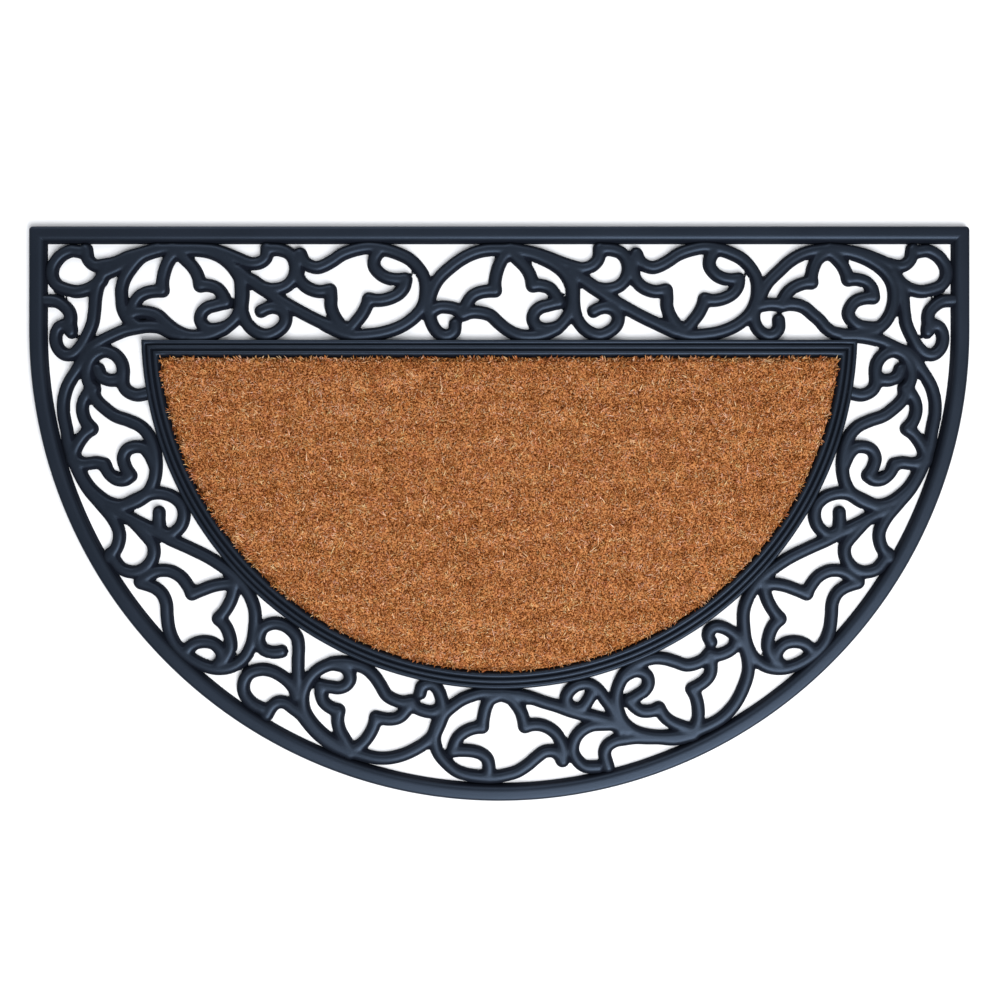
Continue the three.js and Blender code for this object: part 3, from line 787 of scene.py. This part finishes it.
TUFT = 3 * MM
LEAN = 2.3 * MM
TUFT_LEAN = 1.1
BROAD_LEAN = 0.25
OWN_LEAN = 0.7
PANEL_MIDDLE = 0.45
EDGE_BAND = 3 * MM
EDGE_LEAN = 1 * MM
LOOSE_SHARE = 0.007
LOOSE_MARGIN = 10 * MM
LOOSE_STRETCH = 2.2
OVERHANG = 2.2 * MM
LEAST_KEPT = 0.2
lean = LEAN * np.column_stack([
    TUFT_LEAN * tuft_noise(seed, TUFT) + BROAD_LEAN * tuft_noise(seed + 10, 3 * TUFT)
    + rng.normal(0, OWN_LEAN, count)
    for seed in (11, 12)
])
from_middle = root - np.array([0, FRAME_EDGE_Y - PANEL_MIDDLE * FRAME_RADIUS])
outwards = from_middle / np.linalg.norm(from_middle, axis=1)[:, None]
at_edge = np.clip(1 - from_edge / EDGE_BAND, 0, 1)[:, None]
lean += outwards * at_edge * EDGE_LEAN
loose = (rng.random(count) < LOOSE_SHARE) & (from_edge > LOOSE_MARGIN)
lean[loose] *= LOOSE_STRETCH
lean_length = np.linalg.norm(lean, axis=1)
lean *= np.clip((from_edge + OVERHANG) / lean_length, LEAST_KEPT, 1)[:, None]
print("mean lean in mm", round(float(np.linalg.norm(lean, axis=1).mean() / MM), 2))


# %% [markdown]
# From leans to spikes
#
# A spike's tip stands at the top of the pile, lower by a share of its lean, and a random
# part and its tuft's rise lift or sink it. Its tone is its own for the most part. Tufts
# and broad patches add a little, and so do the even rows that show in the photograph.
# Loose fibres are pale. The spikes are shared out over four strips, nearly equal in number.

# %% The spikes
RADII = (0.36, 0.72)
SINK_SHARE = 0.3
DEEPEST_SINK = 1.2 * MM
TIP_SPREAD = 0.4 * MM
HIGHEST_TIP = 1 * MM
ROOT_DEPTH = 2.5 * MM
BEND_SHARE = 0.62
BEND_TAPER = 0.9
WAY_FROM_ROOT = [0, 0, 0, 0.6, 0.6, 0.6, 1]


def make_fibres(name, root, lean, rise, tone, rng):
    """A spike has a ring at its root, a ring at its bend and a point at its tip. The
    bend has a third of the lean, and the tip the whole.
    tip = top of the pile - sink + rise + a random part, with a highest value."""
    count = len(root)
    thickness = rng.uniform(*RADII, count) * MM
    reach = np.linalg.norm(lean, axis=1)
    sink = np.minimum(SINK_SHARE * reach, DEEPEST_SINK)
    tip_z = PILE_TOP - sink + rise + rng.normal(0, TIP_SPREAD, count)
    tip_z = np.minimum(tip_z, PILE_TOP + HIGHEST_TIP)
    root_z = np.full(count, PILE_BODY - ROOT_DEPTH)
    bend_z = root_z + BEND_SHARE * (tip_z - root_z)
    turn = rng.uniform(0, 2 * np.pi, count)[:, None] + np.arange(3) * 2 * np.pi / 3
    around = np.stack([np.cos(turn), np.sin(turn)], axis=2)
    ring_root = root[:, None] + around * thickness[:, None, None]
    ring_bend = (root + lean / 3)[:, None] + around * thickness[:, None, None] * BEND_TAPER
    points = np.zeros((count, 7, 3))
    points[:, 0:3, :2], points[:, 0:3, 2] = ring_root, root_z[:, None]
    points[:, 3:6, :2], points[:, 3:6, 2] = ring_bend, bend_z[:, None]
    points[:, 6, :2], points[:, 6, 2] = root + lean, tip_z
    first = np.arange(count)[:, None] * 7
    sides = [[j, (j + 1) % 3, 3 + (j + 1) % 3, 3 + j] for j in range(3)]
    ends = [[3, 4, 6], [4, 5, 6], [5, 3, 6], [2, 1, 0]]
    quads = (first[:, :, None] + np.array(sides)).reshape(-1, 4)
    triangles = (first[:, :, None] + np.array(ends)).reshape(-1, 3)
    piece = make_piece(name, points.reshape(-1, 3), quads, triangles, smooth_angle=70)
    along = np.tile(WAY_FROM_ROOT, count)
    for attribute, values in (("tone", np.repeat(tone, 7)), ("along", along)):
        layer = piece.data.attributes.new(attribute, "FLOAT", "POINT")
        layer.data.foreach_set("value", values.astype(np.float32))
    return piece


# %% Rise, tone and the four strips
FIBRE_PIECES = 4
ROWS_PER_METRE = 34
ROW_WANDER = 0.9
RISE = 0.3 * MM
MIDDLE_TONE = 0.5
OWN_TONE = 0.26
TUFT_TONE = 0.08
BROAD_TONE = 0.03
ROW_TONE = 0.09
LOOSE_TONE = 0.95
wander = ROW_WANDER * tuft_noise(14, 80 * MM)
rows = np.sin(2 * np.pi * ROWS_PER_METRE * root[:, 1] + wander)
rise = RISE * tuft_noise(15, TUFT)
tone = (
    MIDDLE_TONE + OWN_TONE * rng.normal(size=count) + TUFT_TONE * tuft_noise(13, 2.4 * MM)
    + BROAD_TONE * tuft_noise(16, 20 * MM) + ROW_TONE * rows
)
tone = np.clip(np.where(loose, LOOSE_TONE, tone), 0, 1)
strip_edges = np.quantile(root[:, 0], np.linspace(0, 1, FIBRE_PIECES + 1)[1:-1])
strip = np.searchsorted(strip_edges, root[:, 0])
coir_fibres = []
for number in range(FIBRE_PIECES):
    mine = strip == number
    name = f"coir_fibres_{number + 1}"
    coir_fibres.append(make_fibres(name, root[mine], lean[mine], rise[mine], tone[mine], rng))

# %% [markdown]
# Shared effects for the finishes
#
# Both finishes need soft cloudy variation at several scales. That is a node group with
# named inputs, built once and placed in each material with its own values.


# %% The cloud group
def make_cloud_group():
    """Fine and broad noise on object coordinates, mixed into one mask from 0 to 1."""
    group = bpy.data.node_groups.new("cloudy_wear", "ShaderNodeTree")
    for name, value in (("Broad scale", 20), ("Fine scale", 400), ("Fine share", 0.4)):
        socket = group.interface.new_socket(name, in_out="INPUT", socket_type="NodeSocketFloat")
        socket.default_value = value
    group.interface.new_socket("Mask", in_out="OUTPUT", socket_type="NodeSocketFloat")
    nodes, links = group.nodes, group.links
    inside, outside = nodes.new("NodeGroupInput"), nodes.new("NodeGroupOutput")
    place = nodes.new("ShaderNodeTexCoord")
    broad, fine = nodes.new("ShaderNodeTexNoise"), nodes.new("ShaderNodeTexNoise")
    mix = nodes.new("ShaderNodeMix")
    links.new(place.outputs["Object"], broad.inputs["Vector"])
    links.new(place.outputs["Object"], fine.inputs["Vector"])
    links.new(inside.outputs["Broad scale"], broad.inputs["Scale"])
    links.new(inside.outputs["Fine scale"], fine.inputs["Scale"])
    links.new(inside.outputs["Fine share"], mix.inputs["Factor"])
    links.new(broad.outputs["Fac"], mix.inputs["A"])
    links.new(fine.outputs["Fac"], mix.inputs["B"])
    links.new(mix.outputs["Result"], outside.inputs["Mask"])
    return group


cloud_group = make_cloud_group()


def place_cloud(nodes, broad, fine, fine_share):
    """A cloud group node with its own values."""
    node = nodes.new("ShaderNodeGroup")
    node.node_tree = cloud_group
    node.inputs["Broad scale"].default_value = broad
    node.inputs["Fine scale"].default_value = fine
    node.inputs["Fine share"].default_value = fine_share
    return node


def place_multiply(nodes):
    """A mix node that multiplies colour A by colour B in full."""
    node = nodes.new("ShaderNodeMix")
    node.data_type = "RGBA"
    node.blend_type = "MULTIPLY"
    node.inputs["Factor"].default_value = 1
    return node


def place_ramp(nodes, stops):
    """A colour ramp from (position, colour) rows."""
    ramp = nodes.new("ShaderNodeValToRGB")
    elements = ramp.color_ramp.elements
    elements[0].position, elements[0].color = stops[0][0], (*stops[0][1], 1)
    elements[1].position, elements[1].color = stops[-1][0], (*stops[-1][1], 1)
    for position, colour in stops[1:-1]:
        elements.new(position).color = (*colour, 1)
    return ramp


def new_material(name):
    """A material with only its Principled shader and its output, and its node lists."""
    material = bpy.data.materials.new(name)
    material.use_nodes = True
    nodes, links = material.node_tree.nodes, material.node_tree.links
    return material, nodes, links, nodes["Principled BSDF"]


print("node group", cloud_group.name, "with", len(cloud_group.nodes), "nodes")

# %% [markdown]
# The rubber
#
# Moulded black rubber is dark with a faint blue. Its crowns are a little lighter, partly
# as wear and partly as painted light, and glossier, while the flanks between the bars stay
# matt and are painted near black as shade. The height that each piece carries as an
# attribute tells the one from the other, and a fine grain in the normal breaks the
# highlights up.


# %% Moulded rubber
def make_rubber():
    """Flanks painted near black as shade, crowns lighter as wear and painted light, by the height in
    millimetres, a fine grained bump.
    """
    material, nodes, links, shader = new_material("moulded_rubber")
    height = nodes.new("ShaderNodeAttribute")
    height.attribute_name = "height"
    wear_and_shade = nodes.new("ShaderNodeMapRange")
    wear_and_shade.interpolation_type = "SMOOTHSTEP"
    wear_and_shade.inputs["From Min"].default_value = 6.9
    wear_and_shade.inputs["From Max"].default_value = 8.1
    cloud = place_cloud(nodes, broad=14, fine=900, fine_share=0.45)
    crown = place_ramp(nodes, [
        (0.3, (0.0036, 0.0047, 0.0072)),
        (0.7, (0.0078, 0.0098, 0.0148)),
    ])
    # Painted shade: colour A is the flanks' near black. The crowns' lighter ramp is wear and painted
    # light, mixed in by the height.
    colour = nodes.new("ShaderNodeMix")
    colour.data_type = "RGBA"
    colour.inputs["A"].default_value = (0.0012, 0.001, 0.003, 1)
    rough = nodes.new("ShaderNodeMapRange")
    rough.inputs["To Min"].default_value = 0.95
    rough.inputs["To Max"].default_value = 0.4
    grain = place_cloud(nodes, broad=600, fine=2600, fine_share=0.5)
    bump = nodes.new("ShaderNodeBump")
    bump.inputs["Strength"].default_value = 0.3
    bump.inputs["Distance"].default_value = 0.0004
    links.new(height.outputs["Fac"], wear_and_shade.inputs["Value"])
    links.new(cloud.outputs["Mask"], crown.inputs["Fac"])
    links.new(wear_and_shade.outputs["Result"], colour.inputs["Factor"])
    links.new(crown.outputs["Color"], colour.inputs["B"])
    links.new(wear_and_shade.outputs["Result"], rough.inputs["Value"])
    links.new(grain.outputs["Mask"], bump.inputs["Height"])
    links.new(colour.outputs["Result"], shader.inputs["Base Color"])
    shader.inputs["Specular IOR Level"].default_value = 0.35
    shader.inputs["Specular Tint"].default_value = (0.5, 0.68, 0.98, 1)
    links.new(rough.outputs["Result"], shader.inputs["Roughness"])
    links.new(bump.outputs["Normal"], shader.inputs["Normal"])
    return material


rubber = make_rubber()

# %% [markdown]
# The coir
#
# Coconut fibre runs from straw to red-brown, each fibre with its own tone. The spikes
# carry that tone as an attribute, with a second one for the way from root to tip: the
# colour is dimmed towards the roots as painted shade, because they lie in shade. Small
# patches turn a little pinker or yellower. The slab has dark and middle tones, in specks
# as fine as the fibres; its dark tones are painted shade in the gaps between the fibres.


# %% Coir fibre and coir body
def make_fibre_material():
    """The colour of the fibre's own tone, times the tint of its patch, times a shade
    that grows from the root to the tip."""
    material, nodes, links, shader = new_material("coir_fibre")
    tone, along = nodes.new("ShaderNodeAttribute"), nodes.new("ShaderNodeAttribute")
    tone.attribute_name, along.attribute_name = "tone", "along"
    colour = place_ramp(nodes, [
        (0.05, (0.13, 0.03, 0.004)),
        (0.35, (0.46, 0.15, 0.044)),
        (0.6, (0.68, 0.31, 0.135)),
        (0.95, (0.86, 0.62, 0.44)),
    ])
    # Painted shade: the colour is dimmed to 0.35 at the root and reaches its full value at the tip.
    shade = nodes.new("ShaderNodeMapRange")
    shade.inputs["To Min"].default_value = 0.35
    patch = place_cloud(nodes, broad=110, fine=800, fine_share=0.5)
    tint = place_ramp(nodes, [(0.4, (1.0, 0.85, 0.9)), (0.6, (0.96, 1.0, 0.68))])
    tinted = place_multiply(nodes)
    dim = place_multiply(nodes)
    links.new(tone.outputs["Fac"], colour.inputs["Fac"])
    links.new(along.outputs["Fac"], shade.inputs["Value"])
    links.new(patch.outputs["Mask"], tint.inputs["Fac"])
    links.new(colour.outputs["Color"], tinted.inputs["A"])
    links.new(tint.outputs["Color"], tinted.inputs["B"])
    links.new(tinted.outputs["Result"], dim.inputs["A"])
    links.new(shade.outputs["Result"], dim.inputs["B"])
    links.new(dim.outputs["Result"], shader.inputs["Base Color"])
    shader.inputs["Roughness"].default_value = 0.8
    shader.inputs["Specular IOR Level"].default_value = 0.02
    return material


def make_body_material():
    """Near-black brown as painted shade between the fibres, specks of fibre colour, and a rough
    bump.
    """
    material, nodes, links, shader = new_material("coir_depth_painted_shade")
    cloud = place_cloud(nodes, broad=60, fine=700, fine_share=0.93)
    # Painted shade: the darkest stops stand for the shade deep between the fibres; the middle ones
    # are the fibres' own colour.
    colour = place_ramp(nodes, [
        (0.4, (0.06, 0.016, 0.003)),
        (0.5, (0.27, 0.095, 0.028)),
        (0.6, (0.48, 0.21, 0.08)),
    ])
    bump = nodes.new("ShaderNodeBump")
    bump.inputs["Strength"].default_value = 0.8
    bump.inputs["Distance"].default_value = 0.001
    links.new(cloud.outputs["Mask"], colour.inputs["Fac"])
    links.new(cloud.outputs["Mask"], bump.inputs["Height"])
    links.new(colour.outputs["Color"], shader.inputs["Base Color"])
    links.new(bump.outputs["Normal"], shader.inputs["Normal"])
    shader.inputs["Roughness"].default_value = 0.9
    shader.inputs["Specular IOR Level"].default_value = 0.02
    return material


fibre_material = make_fibre_material()
body_material = make_body_material()

# %% [markdown]
# Joining the pieces to the frame
#
# Each piece takes its material and rides on the mat's one body, and the solid that it
# stands for is hidden. The fibres ride on the same body as the coir's slab.

# %% Riding and replacing
for piece in (scrollwork, rim, inner_frame):
    piece.data.materials.append(rubber)
    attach(piece, "root")
    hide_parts("rubber_mat")

coir_body.data.materials.append(body_material)
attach(coir_body, "root")
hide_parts("coir_pile")
for piece in coir_fibres:
    piece.data.materials.append(fibre_material)
    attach(piece, "root")

# %% [markdown]
# Stage, light and camera
#
# The mat lies on a plain pale floor. A broad soft light hangs off the round side, so the
# crowns there mirror it a little, and a weaker one fills from the far side. The room
# adds an even light from all sides. The camera looks straight down, and its lens is worked
# out so that the mat spans as many pixels as in the photograph.


# %% Floor and lights
def make_floor(size=12, drop=0.5 * MM):
    """A square plane, dropped a hair under the mat."""
    half, below = size / 2, -drop
    points = [(-half, -half, below), (half, -half, below), (half, half, below), (-half, half, below)]
    floor = make_piece("floor", points, [[0, 1, 2, 3]])
    material, _, _, shader = new_material("pale_floor")
    shader.inputs["Base Color"].default_value = (0.8, 0.81, 0.83, 1)
    shader.inputs["Roughness"].default_value = 0.9
    floor.data.materials.append(material)


def make_softbox(name, place, size, power):
    """A square area light that faces the middle of the mat."""
    light = bpy.data.lights.new(name, "AREA")
    light.size, light.energy = size, power
    lamp = bpy.data.objects.new(name, light)
    lamp.location = place
    lamp.rotation_euler = (-lamp.location).to_track_quat("-Z", "Y").to_euler()
    bpy.context.scene.collection.objects.link(lamp)


make_floor()
make_softbox("near_the_round_side", (0.6, -1.2, 2.2), 1.6, 100)
make_softbox("far_side", (-0.5, 2.6, 1.9), 2.0, 42)
world = bpy.data.worlds.new("studio")
world.use_nodes = True
background = world.node_tree.nodes["Background"]
background.inputs["Color"].default_value = (0.93, 0.96, 1, 1)
background.inputs["Strength"].default_value = 0.4
bpy.context.scene.world = world
bpy.context.scene.view_settings.view_transform = "Standard"

# %% Camera
IMAGE_SIDE = 1000
MAT_PIXELS = 942
MAT_CENTRE_PIXELS = (499.3, 513.6)
CAMERA_HEIGHT = 1.63
SENSOR = 36
per_pixel = MAT_LENGTH / MAT_PIXELS
distance_to_top = CAMERA_HEIGHT - mat_high.z
camera_data = bpy.data.cameras.new("camera")
camera_data.sensor_width = SENSOR
camera_data.lens = SENSOR * distance_to_top / (IMAGE_SIDE * per_pixel)
camera = bpy.data.objects.new("camera", camera_data)
camera.location = (
    (IMAGE_SIDE / 2 - MAT_CENTRE_PIXELS[0]) * per_pixel,
    (MAT_CENTRE_PIXELS[1] - IMAGE_SIDE / 2) * per_pixel,
    CAMERA_HEIGHT,
)
bpy.context.scene.collection.objects.link(camera)
bpy.context.scene.camera = camera
print("lens in mm", round(camera_data.lens, 1))
